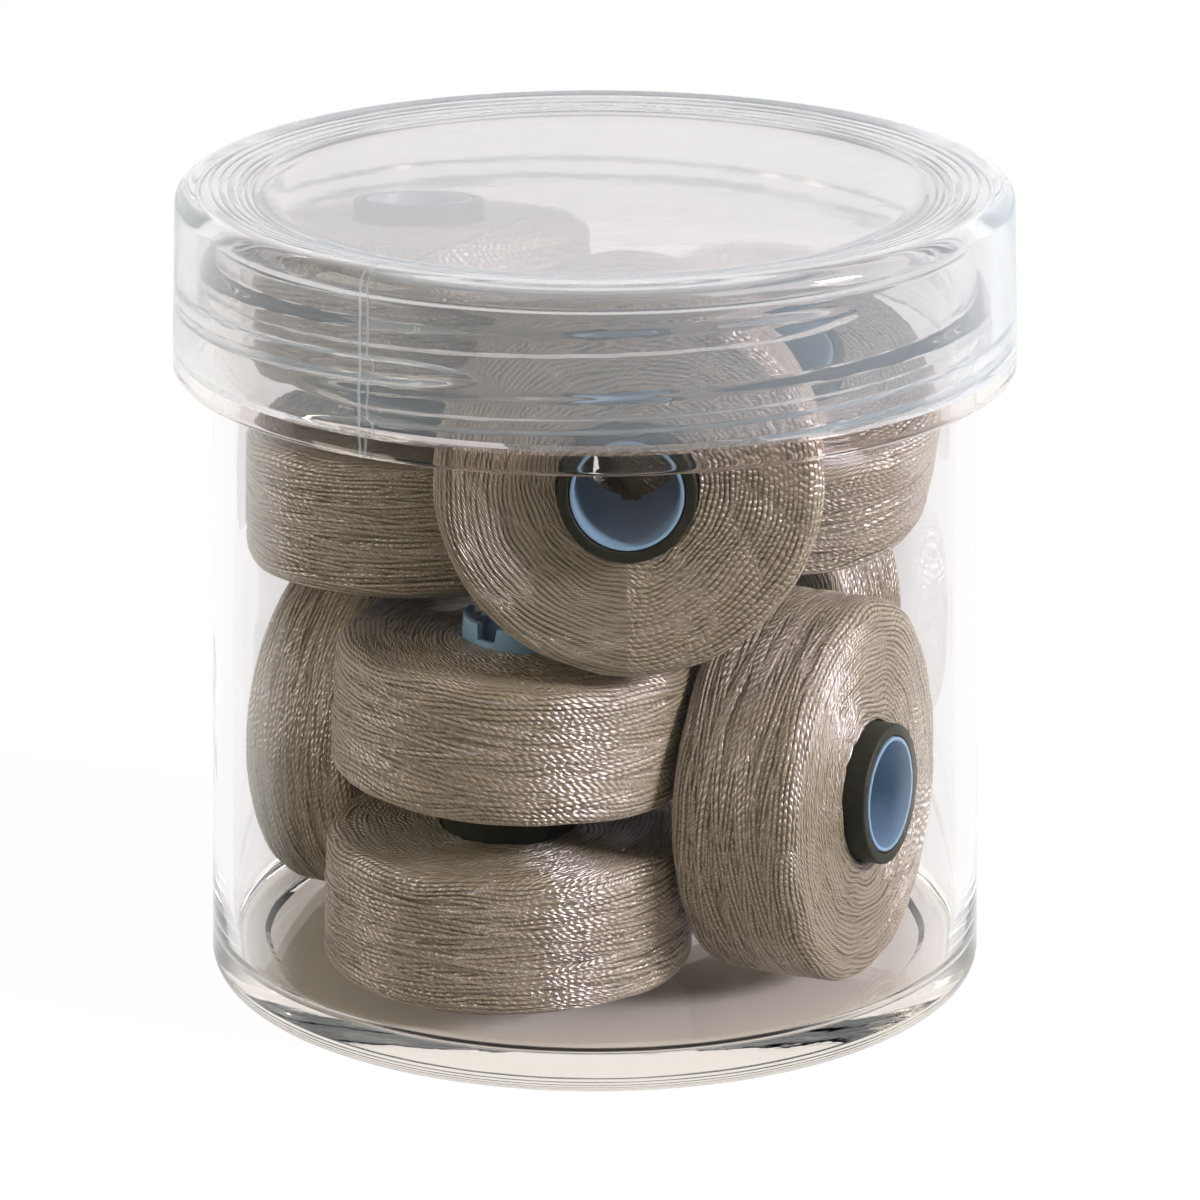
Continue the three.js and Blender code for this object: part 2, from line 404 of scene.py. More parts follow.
def clear_to_light(tree, surface, tint):
    """Lets shadow and diffuse rays straight through, so that light reaches what is inside."""
    path = node(tree, "ShaderNodeLightPath").outputs
    through = calc(tree, "MAXIMUM", path["Is Shadow Ray"], path["Is Diffuse Ray"])
    clear = node(tree, "ShaderNodeBsdfTransparent", {"Color": (*tint, 1)}).outputs[0]
    return blend(tree, through, surface, clear)


# ---- materials -----------------------------------------------------------------------------------
def jar_material():
    """Clear plastic with a slightly wavy, scuffed surface and a warmer tint in the thick base."""
    material, tree = new_material("clear_polystyrene")
    place = object_place(tree)
    flow = noise(tree, place, 60, 3)
    fine = noise(tree, place, 900, 2)
    patches = noise(tree, place, 300, 6, 0.7)
    scuffs = ramp(tree, patches, [(0.62, (0, 0, 0)), (0.75, (1, 1, 1))])
    height = calc(tree, "MULTIPLY_ADD", fine, 0.02, flow)
    slab = eased(tree, split(tree, place)["Z"], SLAB_CLEAR, SLAB_AMBER)
    surface = principled(tree, {
        "Base Color": mixed(tree, slab, (0.950, 0.934, 0.941), (0.925, 0.885, 0.80)),
        "Roughness": calc(tree, "MULTIPLY_ADD", scuffs, 0.06, 0.004),
        "IOR": 1.56,
        "Transmission Weight": 1.0,
        "Normal": bumped(tree, height, 0.25, 0.00012),
    })
    finish_material(tree, clear_to_light(tree, surface, (0.97, 0.96, 0.965)))
    return material


def weld_line(tree, place, turn):
    """1 on the thin, slightly wavering line where the plastic met in the mould."""
    waver = calc(tree, "MULTIPLY_ADD", noise(tree, place, 500, 2), WELD_WAVER,
                 WELD_ANGLE - WELD_WAVER / 2)
    away = calc(tree, "ABSOLUTE", calc(tree, "SUBTRACT", turn, waver))
    return calc(tree, "LESS_THAN", away, WELD_HALF)


def lid_material():
    """Clear plastic with milk in it, which is thin in the lip and thick along the weld line."""
    material, tree = new_material("milky_polypropylene")
    place = object_place(tree)
    flow = noise(tree, place, 45, 3)
    fine = noise(tree, place, 1400, 2)
    height = calc(tree, "MULTIPLY_ADD", fine, 0.03, flow)
    clear = principled(tree, {
        "Base Color": (0.97, 0.925, 0.89, 1),
        "Roughness": 0.025,
        "IOR": 1.45,
        "Transmission Weight": 1.0,
        "Normal": bumped(tree, height, 0.3, 0.0002),
    })
    haze = mixed(tree, flow, (0.66, 0.80, 0.92), (0.74, 0.86, 0.96))
    milk = node(tree, "ShaderNodeBsdfTranslucent", {"Color": haze}).outputs[0]
    chalk = node(tree, "ShaderNodeBsdfDiffuse", {"Color": haze}).outputs[0]
    cloud = blend(tree, 0.5, milk, chalk)
    spot = split(tree, place)
    weld = weld_line(tree, place, calc(tree, "ARCTAN2", spot["Y"], spot["X"]))
    above_lip = eased(tree, spot["Z"], LIP_CLEAR, LIP_MILKY, LIP_HAZE)
    amount = calc(tree, "MULTIPLY_ADD", flow, MILK_SPREAD, MILK_LEAST)
    amount = calc(tree, "MULTIPLY", amount, above_lip)
    amount = calc(tree, "MULTIPLY_ADD", weld, WELD_MILK, amount)
    surface = blend(tree, amount, clear, cloud)
    finish_material(tree, clear_to_light(tree, surface, (0.80, 0.775, 0.76)))
    return material


def liner_material():
    """Clear film that hardly bends light, with a faint ripple."""
    material, tree = new_material("clear_liner")
    ripple = noise(tree, object_place(tree), 120, 2)
    surface = principled(tree, {
        "Base Color": (0.99, 0.98, 0.985, 1),
        "Roughness": calc(tree, "MULTIPLY_ADD", ripple, 0.05, 0.02),
        "IOR": 1.04,
        "Transmission Weight": 1.0,
        "Normal": bumped(tree, ripple, 0.3, 0.0001),
    })
    finish_material(tree, clear_to_light(tree, surface, (0.98, 0.97, 0.975)))
    return material


def ply_twist(tree, along, across, tone_and_dip_shade, wander):
    """From 0 to 1 and back with every ply of the thread, along the strand. Each strand's own tone,
    with its painted dip shade, gives it its own start."""
    ply = calc(tree, "MULTIPLY_ADD", along, STRAND_TWIST, calc(tree, "MULTIPLY", across, 0.75))
    ply = calc(tree, "ADD", ply, calc(tree, "MULTIPLY", tone_and_dip_shade, 5.0))
    ply = calc(tree, "ADD", ply, calc(tree, "MULTIPLY", wander, 0.8))
    wave = calc(tree, "SINE", calc(tree, "MULTIPLY", ply, TURN))
    return calc(tree, "MULTIPLY_ADD", wave, 0.5, 0.5)


def thread_material():
    """Matt twisted thread with silk on the plies that stand up, painted shade between the strands
    and painted light and shade along each ply.
    """
    material, tree = new_material("bobbin_thread")
    place = node(tree, "ShaderNodeTexCoord").outputs
    spot = split(tree, place["UV"])
    tone_and_dip_shade = node(tree, "ShaderNodeAttribute", attribute_name="tone_and_dip_shade").outputs["Fac"]
    crest_shade = node(tree, "ShaderNodeAttribute", attribute_name="crest_shade").outputs["Fac"]
    wander = noise(tree, place["Object"], 900, 2)
    twist = ply_twist(tree, spot["X"], spot["Y"], tone_and_dip_shade, wander)
    fibre = noise(tree, place["Object"], 5200, 3)
    # painted light and shade: the colour darkens in the valleys between strands and on lower
    # strands, and lightens along each ply's crest
    shade = calc(tree, "MULTIPLY_ADD", twist, 0.34, calc(tree, "MULTIPLY", crest_shade, 0.66))
    deep = ramp(tree, shade, [
        (0.0, (0.007, 0.007, 0.002)),
        (0.38, (0.056, 0.047, 0.017)),
        (0.68, (0.255, 0.208, 0.112)),
        (1.0, (0.600, 0.505, 0.330)),
    ])
    # the strand's tone, with its painted dip shade, lightens the colour strand by strand
    light = mixed(tree, calc(tree, "MULTIPLY", tone_and_dip_shade, 0.35), deep, (0.46, 0.39, 0.27))
    grain = calc(tree, "MULTIPLY_ADD", fibre, 0.5, 0.75)
    colour = node(tree, "ShaderNodeVectorMath", {0: light, 1: grain}, operation="MULTIPLY")
    relief = calc(tree, "MULTIPLY", fibre, 0.6)
    relief = calc(tree, "ADD", calc(tree, "MULTIPLY", twist, 0.8), relief)
    bump = bumped(tree, relief, 0.9, 0.00008)
    tangent = node(tree, "ShaderNodeTangent", direction_type="UV_MAP", uv_map="Thread").outputs[0]
    matt = principled(tree, {
        "Base Color": colour.outputs[0],
        "Roughness": 0.5,
        "Specular IOR Level": 0.5,
        "Anisotropic": 0.5,
        "Tangent": tangent,
        "Normal": bump,
    })
    silk = node(tree, "ShaderNodeBsdfAnisotropic", {
        "Color": (0.88, 0.84, 0.90, 1),
        "Roughness": calc(tree, "MULTIPLY_ADD", twist, -0.12, 0.38),
        "Anisotropy": 0.6,
        "Tangent": tangent,
        "Normal": bump,
    }).outputs[0]
    gleam = calc(tree, "MULTIPLY", calc(tree, "MULTIPLY_ADD", twist, 0.7, 0.3), crest_shade)
    gleam = calc(tree, "MULTIPLY", gleam, SILK)
    finish_material(tree, blend(tree, gleam, matt, silk))
    return material


def core_material():
    """Satin blue plastic, a little cloudy and grained."""
    material, tree = new_material("blue_core")
    place = object_place(tree)
    cloud = noise(tree, place, 260, 4)
    grain = noise(tree, place, 2600, 2)
    finish_material(tree, principled(tree, {
        "Base Color": mixed(tree, cloud, (0.19, 0.32, 0.45), (0.26, 0.40, 0.54)),
        "Roughness": calc(tree, "MULTIPLY_ADD", grain, 0.2, 0.28),
        "Subsurface Weight": 0.15,
        "Subsurface Radius": (0.0004, 0.0006, 0.0009),
        "Subsurface Scale": 1.0,
        "Normal": bumped(tree, grain, 0.5, 0.00004),
    }))
    return material


def magnet_material():
    """Matt black bonded magnet, speckled with fine grains."""
    material, tree = new_material("black_magnet")
    place = object_place(tree)
    cloud = noise(tree, place, 700, 5, 0.65)
    grain = noise(tree, place, 5000, 2)
    finish_material(tree, principled(tree, {
        "Base Color": mixed(tree, cloud, (0.006, 0.007, 0.003), (0.030, 0.032, 0.016)),
        "Roughness": calc(tree, "MULTIPLY_ADD", cloud, 0.3, 0.40),
        "Specular IOR Level": 0.25,
        "Normal": bumped(tree, grain, 0.6, 0.00004),
    }))
    return material


def away_from_camera(tree, travel):
    """1 for a ray that travels away from the camera, 0 for one that comes back past it."""
    seen = node(tree, "ShaderNodeVectorTransform", {0: travel}, vector_type="VECTOR",
                convert_from="WORLD", convert_to="CAMERA").outputs[0]
    return eased(tree, split(tree, seen)["Z"], DIM_SIDE, BRIGHT_SIDE)


def floor_material():
    """White where it is the backdrop, and truly lit where the jar stands on it."""
    material, tree = new_material("studio_floor")
    place = object_place(tree)
    path = node(tree, "ShaderNodeLightPath").outputs
    incoming = node(tree, "ShaderNodeNewGeometry").outputs["Incoming"]
    travel = node(tree, "ShaderNodeVectorMath", {0: incoming, 1: (-1, -1, -1)},
                  operation="MULTIPLY").outputs[0]
    bright = calc(tree, "MAXIMUM", away_from_camera(tree, travel), path["Is Diffuse Ray"])
    bright = calc(tree, "MAXIMUM", bright, path["Is Camera Ray"])
    colour = mixed(tree, noise(tree, place, 3, 2), (0.88, 0.88, 0.88), (0.92, 0.92, 0.92))
    colour = mixed(tree, bright, (FLOOR_DIM,) * 3, colour)
    matt = node(tree, "ShaderNodeBsdfDiffuse", {"Color": colour}).outputs[0]
    glow = node(tree, "ShaderNodeEmission", {"Strength": FLOOR_GLOW}).outputs[0]
    away = node(tree, "ShaderNodeVectorMath", {0: place}, operation="LENGTH").outputs["Value"]
    outside = eased(tree, away, FOOT_INNER, FOOT_OUTER)
    clear = calc(tree, "SUBTRACT", 1.0, path["Is Diffuse Ray"])
    through = calc(tree, "MULTIPLY", calc(tree, "MULTIPLY", clear, bright), outside)
    amount = calc(tree, "MAXIMUM", path["Is Camera Ray"], through)
    amount = calc(tree, "MULTIPLY", amount, FLOOR_GLOW_SHARE)
    finish_material(tree, blend(tree, amount, matt, glow))
    return material


# ---- jar, lid and liner --------------------------------------------------------------------------
def screw_surface(profile, thread_radius, stand, start, turns):
    """Rows x columns of radius and height, with the screw thread raised where the profile runs
    along the thread's wall."""
    radius, height = spread(profile, GLASS_COLUMNS)
    turn = np.repeat([even_turns(GLASS_COLUMNS)], len(profile), axis=0)
    on_wall = np.abs(radius - thread_radius) < 0.01
    radius += np.where(on_wall, ridge(turn, height, start, turns) * stand, 0)
    return radius, height


def make_jar():
    corner = JAR_RADIUS - BASE_ROUND
    step_top = FLOOR_HEIGHT + FLOOR_STEP_HEIGHT
    step_foot = FLOOR_STEP_RADIUS + FLOOR_STEP_SLOPE
    mouth = JAR_HEIGHT - MOUTH_ROUND
    inside = MOUTH_ROUND_INSIDE
    profile = line((AXIS_GAP, 0.0), (corner, 0.0), 30)
    profile += arc(corner, BASE_ROUND, BASE_ROUND, -90, 0, 12)[:-1]
    profile += line((JAR_RADIUS, BASE_ROUND), (JAR_RADIUS, THREAD_BAND), 12)
    profile += line((JAR_RADIUS, THREAD_BAND), (JAR_RADIUS, mouth), 76)
    profile += arc(JAR_RADIUS - MOUTH_ROUND, mouth, MOUTH_ROUND, 0, 90, 6)
    profile += arc(JAR_INNER + inside, JAR_HEIGHT - inside, inside, 90, 180, 5)
    profile += line((JAR_INNER, JAR_HEIGHT - 2 * inside), (JAR_INNER, step_top + FLOOR_COVE), 14)
    profile += arc(JAR_INNER - FLOOR_COVE, step_top + FLOOR_COVE, FLOOR_COVE, 0, -90, 8)
    profile += line((FLOOR_STEP_RADIUS + FLOOR_STEP_BEND, step_top), (step_foot, step_top), 2)
    profile += line((step_foot, step_top), (FLOOR_STEP_RADIUS, FLOOR_HEIGHT), 4)
    profile += line((FLOOR_STEP_RADIUS, FLOOR_HEIGHT), (AXIS_GAP, FLOOR_HEIGHT), 20)
    radius, height = screw_surface(profile, JAR_RADIUS, THREAD_STAND, THREAD_START,
                                   JAR_THREAD_TURNS)
    points, faces = lathe(radius, height, True)
    add_piece("jar_body_clear", points, faces, jar_material(), "jar", "jar_body",
              sharp=35)


def groove(r):
    """How far the fine turned rings on the rim's slope cut in at a radius."""
    return -GROOVE_DEPTH * sum(math.exp(-(((r - k) / GROOVE_HALF) ** 2)) for k in GROOVE_RADII)


def lid_inside():
    """The lid's profile from the axis under the panel, out and down to the lip."""
    ceiling = LID_TOP - LID_RIM_THICK
    bend = (LID_CEILING_BEND[0], ceiling - LID_CEILING_BEND[1])
    panel_edge = (LID_PANEL_RADIUS - 0.5, LID_PANEL_UNDER)
    soft = LID_CEILING_ROUND
    lip_top = LID_BOTTOM + LID_LIP_HEIGHT
    lip_low = lip_top - LID_LIP_SLOPE
    profile = line((AXIS_GAP, LID_PANEL_UNDER), panel_edge, 20)
    profile += line(panel_edge, bend, 6)
    profile += line(bend, (LID_INNER - soft, ceiling), 8)
    profile += arc(LID_INNER - soft, ceiling - soft, soft, 90, 0, 8)[:-1]
    profile += line((LID_INNER, ceiling - soft), (LID_INNER, lip_top), 96)
    profile += line((LID_INNER, lip_top), (LID_LIP_RADIUS, lip_low), 3)
    profile += line((LID_LIP_RADIUS, lip_low), (LID_LIP_RADIUS, LID_BOTTOM + LID_LIP_ROUND), 4)
    return profile


def lid_outside():
    """The lid's profile from its foot up the skirt, over the rim and in to the axis."""
    lip, foot, top = LID_LIP_ROUND, LID_FOOT_ROUND, LID_TOP_ROUND
    profile = arc(LID_LIP_RADIUS + lip, LID_BOTTOM + lip, lip, 180, 270, 4)
    profile += arc(LID_RADIUS - foot, LID_BOTTOM + foot, foot, 270, 360, 6)
    skirt_top = (LID_RADIUS_TOP, LID_TOP - top - 0.1)
    profile += line((LID_RADIUS, LID_BOTTOM + foot + 0.05), skirt_top, 20)
    profile += arc(LID_RADIUS_TOP - top, LID_TOP - top, top, 0, 90, 12)
    slope = [(r, LID_TOP - drop) for r, drop in LID_RIM_SLOPE]
    knots = [(LID_RIM_FLAT, LID_TOP)] + slope + [(LID_PANEL_RADIUS, LID_PANEL_TOP)]
    inward = [-r for r, _ in knots]
    levels = [z for _, z in knots]
    for r in np.arange(LID_RIM_FLAT - 0.1, LID_PANEL_RADIUS, -RIM_STEP):
        z = np.interp(-r, inward, levels) + groove(r)
        profile.append((float(r), float(z)))
    profile += line((LID_PANEL_RADIUS, LID_PANEL_TOP), (AXIS_GAP, LID_PANEL_TOP), 24)
    return profile


def make_lid():
    radius, height = screw_surface(lid_inside() + lid_outside(), LID_INNER, -THREAD_STAND,
                                   THREAD_START - THREAD_PITCH / 2, LID_THREAD_TURNS)
    points, faces = lathe(radius, height, True)
    add_piece("lid_milky", points, faces, lid_material(), "lid", "lid",
              sharp=35)


def make_liner():
    top = LINER_BOTTOM + LINER_THICK
    edge = LINER_THICK / 2
    rim = LINER_RADIUS - edge
    profile = line((AXIS_GAP, LINER_BOTTOM), (rim, LINER_BOTTOM), 24)
    profile += arc(rim, LINER_BOTTOM + edge, edge, -90, 90, 8)
    profile += line((rim - 1.0, top), (AXIS_GAP, top), 24)
    points, faces = lathe(*spread(profile, GLASS_COLUMNS), True)
    add_piece("lid_liner_disc", points, faces, liner_material(), "liner", "lid_liner",
              sharp=60)


# ---- bobbins -------------------------------------------------------------------------------------
def bobbin_place(label):
    """Matrix that takes a bobbin built along +Z, magnet end up, to its place, in millimetres."""
    joint = next(j for j in frame["joints"] if j["name"] == f"bobbin_{label}_spin")
    centre = Vector(joint["pos_m"]) / MM
    x, y, z = joint["axis"]
    azimuth = math.atan2(y, x) if math.hypot(x, y) > 1e-6 else 0.0
    polar = math.atan2(math.hypot(x, y), z)
    turn = Matrix.Rotation(azimuth, 4, "Z") @ Matrix.Rotation(polar, 4, "Y")
    spin = Matrix.Rotation(math.radians(BOBBINS[label][0]), 4, "Z")
    return np.array(Matrix.Translation(centre) @ turn @ spin)


def placed(points, place):
    return points @ place[:3, :3].T + place[:3, 3]


def winding_radius(label):
    """How full the bobbin is, in millimetres, read from its CAD winding."""
    mesh = frame["nodes"][f"winding_{label}"].data
    points = np.empty(len(mesh.vertices) * 3)
    mesh.vertices.foreach_get("co", points)
    local = placed(points.reshape(-1, 3) / MM, np.linalg.inv(bobbin_place(label)))
    return float(np.hypot(local[:, 0], local[:, 1]).max())


def winding_path(radius, rows_per_strand):
    """The winding's profile as rows of radius, height, outward normal, distance and relief."""
    low, side, top = rows_per_strand
    corner, edge = radius - EDGE_ROUND, HALF_WIDTH - EDGE_ROUND
    bore = CORE_RADIUS + SEAT_GAP
    seat = MAGNET_RADIUS + SEAT_GAP
    seat_floor = HALF_WIDTH + MAGNET_STAND - MAGNET_LENGTH - SEAT_GAP
    bend = EDGE_ROUND * math.pi / 2
    rows, distance = [], 0.0

    def straight(start, end, normal, per_strand, relief):
        nonlocal distance
        length = math.dist(start, end)
        count = max(1, round(length / STRAND_PITCH * per_strand))
        for k in range(count):
            t = k / count
            at = (start[0] + (end[0] - start[0]) * t, start[1] + (end[1] - start[1]) * t)
            rows.append((*at, *normal, distance + length * t, relief))
        distance += length

    def bent(centre, start, per_strand):
        nonlocal distance
        count = max(1, round(bend / STRAND_PITCH * per_strand))
        for k in range(count):
            a = math.radians(start + 90 * k / count)
            normal = (math.cos(a), math.sin(a))
            at = (centre[0] + EDGE_ROUND * normal[0], centre[1] + EDGE_ROUND * normal[1])
            rows.append((*at, *normal, distance + bend * k / count, 1))
        distance += bend

    straight((bore, -HALF_WIDTH), (corner, -HALF_WIDTH), (0, -1), low, 1)
    bent((corner, -edge), -90, side)
    straight((radius, -edge), (radius, edge), (1, 0), side, 1)
    bent((corner, edge), 0, side)
    straight((corner, HALF_WIDTH), (seat, HALF_WIDTH), (0, 1), top, 1)
    straight((seat, HALF_WIDTH - BASE_INSET), (seat, seat_floor), (-1, 0), 0.5, 0)
    straight((seat, seat_floor), (bore, seat_floor), (0, 1), 1.0, 0)
    straight((bore, seat_floor), (bore, -HALF_WIDTH + BASE_INSET), (-1, 0), 0.3, 0)
    return np.array(rows).T


def closed_field(turn, distance, rng, rounds, stretch):
    """A smooth field that closes round the bobbin, of about unit size."""
    total = np.zeros_like(turn)
    for m in rounds:
        total += np.cos(m * turn + rng.uniform(0, TURN) + rng.normal(0, stretch) * distance)
    return total / math.sqrt(len(rounds) / 2)


def strand_family(turn, distance, rng, around, wobble):
    """One layer of thread: its phase, how high it stands and each strand's own tone, with painted
    shade where the strand dives and painted light where it rises.
    """
    phase = distance / STRAND_PITCH + around * turn / TURN + wobble
    index = np.floor(phase).astype(int)
    part = phase - index
    key = np.mod(index, abs(around)) if around else index - index.min()
    table = rng.random((4, key.max() + 1))
    round_top = np.sqrt(np.clip(1 - (2 * part - 1) ** 2, 0, 1))
    waves = 1 + np.floor(table[1][key] * 5)
    dive = np.cos(waves * turn + TURN * table[2][key])
    height = STRAND_RELIEF * round_top * (0.75 + 0.4 * table[0][key]) + STRAND_DIVE * dive
    # painted shade and light: the tone darkens where the strand dives and lightens where it rises
    tone_and_dip_shade = np.clip(table[3][key] + 0.25 * dive, 0, 1)
    return {"phase": phase, "height": height, "tone_and_dip_shade": tone_and_dip_shade, "round": round_top, "around": around}


def bundles(family, turn, rng, size):
    """Raises and sinks whole bundles of a slanted layer, so that the other layer shows between."""
    around = abs(family["around"])
    total = np.zeros_like(turn)
    for j in (2, 3, 4, 5, 7):
        wave = TURN * j / around * family["phase"] + rng.integers(-3, 4) * turn
        total += np.cos(wave + rng.uniform(0, TURN))
    return size * total / 1.6


def thread_layers(turn, s, rng, on_side):
    """Two layers that run round the bobbin and two that cross it at a slant on its side."""
    ring_wave = 0.55 * closed_field(turn, s, rng, (1, 2, 3, 4), 0.25)
    ring_wave += 0.22 * closed_field(turn, s, rng, (5, 7, 9, 11, 14), 0.9)
    other_wave = 0.75 * closed_field(turn, s, rng, (1, 2, 3, 5), 0.3)
    other_wave += 0.22 * closed_field(turn, s, rng, (6, 8, 10, 13), 0.9)
    slant = int(round(rng.uniform(FEWEST_CROSSINGS, MOST_CROSSINGS)))
    layers = [
        strand_family(turn, s, rng, 0, ring_wave),
        strand_family(turn, s, rng, 0, other_wave),
    ]
    for around in (slant, -slant + 3):
        wobble = CROSSING_WOBBLE * closed_field(turn, s, rng, (3, 5, 8), 0.4)
        layers.append(strand_family(turn, s, rng, around, wobble))
    patch = PATCH_RELIEF * closed_field(turn, s, rng, (3, 5, 6, 8, 9), 1.1)
    layers[0]["height"] += patch - 0.07 * on_side
    layers[1]["height"] -= patch + 0.04 + 0.05 * on_side
    for layer in layers[2:]:
        raised = bundles(layer, turn, rng, BUNDLE_RELIEF)
        layer["height"] += raised * on_side - CROSSING_SINK * (1 - on_side)
    return layers


def topmost(layers):
    """The height, phase, tone with its painted dip shade, roundness and turns of whichever layer
    lies on top.
    """
    top = np.stack([layer["height"] for layer in layers]).argmax(axis=0)[None]
    picked = {}
    for key in ("height", "phase", "tone_and_dip_shade", "round"):
        stacked = np.stack([layer[key] for layer in layers])
        picked[key] = np.take_along_axis(stacked, top, 0)[0]
    picked["around"] = np.array([layer["around"] for layer in layers])[top[0]]
    return picked


def thread_uv(radius, phase, around):
    """Each quad corner's way along its strand and count across the strands. The last column's
    quads end a whole turn on, where a slanted strand's count has moved by its turns."""
    rows, columns = radius.shape
    i, j = np.indices((rows, columns))
    after, below = (j + 1) % columns, (i + 1) % rows
    u, v = [], []
    for row, column, ahead in ((i, j, 0), (i, after, 1), (below, after, 1), (below, j, 0)):
        u.append((j + ahead) * TURN / columns * radius[row, column])
        v.append(phase[row, column] + np.where(column < j, around[row, column], 0))
    return np.stack([np.stack(u, -1), np.stack(v, -1)], -1).reshape(-1, 4, 2)


def make_winding(label, material):
    _, rows_per_strand, columns = BOBBINS[label]
    rng = np.random.default_rng(int(label) * 17 + 5)
    path = winding_path(winding_radius(label), rows_per_strand)
    r, z, normal_r, normal_z, distance, relief = (values[:, None] for values in path)
    turn = np.repeat([even_turns(columns)], len(r), axis=0)
    s = np.repeat(distance, columns, axis=1)

    on_side = smoothstep((HALF_WIDTH - np.abs(z)) / EDGE_FADE) * (normal_r > 0.7)
    thread = topmost(thread_layers(turn, s, rng, on_side))
    lump = LUMP_RELIEF * closed_field(turn, s, rng, (2, 3, 5), 0.5)
    push = np.clip(thread["height"] - BASE_INSET + lump, DEEPEST, HIGHEST) * relief
    radius = r + push * normal_r
    points = revolved(radius, z + push * normal_z, even_turns(columns)).reshape(-1, 3)
    quads = grid_faces(len(r), columns, True)
    uv = thread_uv(radius, thread["phase"], thread["around"])
    if signed_volume(points, quads) < 0:
        quads, uv = quads[:, ::-1], uv[:, ::-1]

    # painted shade: this tag darkens the valleys between strands and the strands that lie lower,
    # and paints the hidden rows against the core and magnet near black
    deep = smoothstep((thread["height"] + 0.10) / 0.26)
    tags = {"tone_and_dip_shade": thread["tone_and_dip_shade"], "crest_shade": (0.35 + 0.65 * deep) * thread["round"] * relief}
    add_piece(f"winding_{label}_thread", placed(points, bobbin_place(label)), quads.tolist(),
              material, f"bobbin_{label}", f"winding_{label}", uv=uv, tags=tags)


def core_turns():
    """Angles round the core, crowded at the sides of its notches."""
    half = math.asin(NOTCH_WIDTH / 2 / CORE_RADIUS)
    near, far = half - NOTCH_EDGE, half + NOTCH_EDGE
    gap = TURN / NOTCH_COUNT - 2 * far
    turns = []
    for k in range(NOTCH_COUNT):
        middle = k * TURN / NOTCH_COUNT
        turns += list(np.linspace(middle - far, middle - near, 4))
        turns += list(np.linspace(middle - near, middle + near, 8)[1:-1])
        turns += list(np.linspace(middle + near, middle + far, 4))
        turns += list(middle + far + np.linspace(0, gap, 22)[1:-1])
    return np.array(turns)


def core_foot(turns):
    """Level of the core's notched end at each angle."""
    half = math.asin(NOTCH_WIDTH / 2 / CORE_RADIUS)
    apart = TURN / NOTCH_COUNT
    away = np.abs(np.mod(turns + apart / 2, apart) - apart / 2)
    notch = smoothstep((half + NOTCH_EDGE - away) / (2 * NOTCH_EDGE))
    return -HALF_WIDTH - COLLAR_STAND + NOTCH_DEPTH * notch


def core_rings(foot):
    """Radius and level of the rings round the core's section: up the outside, in to the seat of
    the magnet, over the top and down the bore."""
    top = HALF_WIDTH + MAGNET_STAND
    shoulder = top - MAGNET_LENGTH - SEAT_GAP
    lip, thin = CORE_LIP, CORE_SEAT_LIP
    rings = [(CORE_RADIUS - lip * a, foot + lip * b) for a, b in ROUND_STEPS]
    for t in np.linspace(0.1, 0.98, 8):
        rings.append((CORE_RADIUS, (foot + lip) * (1 - t) + shoulder * t))
    rings += [(CORE_RADIUS - 0.04, shoulder), (CORE_SEAT_RADIUS, shoulder)]
    rings += [(CORE_SEAT_RADIUS, shoulder + 0.1)]
    rings += [(CORE_SEAT_RADIUS - thin * a, top - thin * b) for a, b in reversed(ROUND_STEPS)]
    rings += [(CORE_BORE + thin * a, top - thin * b) for a, b in ROUND_STEPS]
    for t in np.linspace(0.1, 0.9, 8):
        rings.append((CORE_BORE, (foot + lip) * t + (top - lip) * (1 - t)))
    rings += [(CORE_BORE + lip * a, foot + lip * b) for a, b in reversed(ROUND_STEPS)]
    return rings


def make_core(label, material):
    turns = core_turns()
    rings = core_rings(core_foot(turns))
    radius = np.array([np.full(len(turns), r) for r, _ in rings])
    level = np.array([z + np.zeros(len(turns)) for _, z in rings])
    points, faces = lathe(radius, level, False, turns)
    add_piece(f"core_{label}_tube", placed(points, bobbin_place(label)), faces,
              material, f"bobbin_{label}", f"core_{label}", sharp=35)


def make_magnet(label, material):
    top = HALF_WIDTH + MAGNET_STAND
    bottom = top - MAGNET_LENGTH
    bore = CORE_SEAT_RADIUS + SEAT_GAP
    soft = MAGNET_ROUND
    profile = arc(MAGNET_RADIUS - soft, bottom + soft, soft, -90, 0, 5)
    profile += line((MAGNET_RADIUS, bottom + 2 * soft), (MAGNET_RADIUS, top - soft), 6)
    profile += arc(MAGNET_RADIUS - soft, top - soft, soft, 0, 90, 5)
    profile += arc(bore + soft, top - soft, soft, 90, 180, 5)
    profile += line((bore, top - 2 * soft), (bore, bottom + soft), 6)
    profile += arc(bore + soft, bottom + soft, soft, 180, 270, 5)
    points, faces = lathe(*spread(profile, MAGNET_COLUMNS), False)
    add_piece(f"magnet_{label}_ring", placed(points, bobbin_place(label)), faces,
              material, f"bobbin_{label}", f"magnet_{label}")


# ---- studio --------------------------------------------------------------------------------------
def make_floor():
    """A level sheet just under the jar's foot."""
    mesh = bpy.data.meshes.new("floor")
    corners = [(x * FLOOR_HALF, y * FLOOR_HALF, -FLOOR_GAP)
               for x, y in ((-1, -1), (1, -1), (1, 1), (-1, 1))]
    mesh.from_pydata(corners, [], [(0, 1, 2, 3)])
    mesh.materials.append(floor_material())
    floor = bpy.data.objects.new("floor", mesh)
    bpy.context.scene.collection.objects.link(floor)


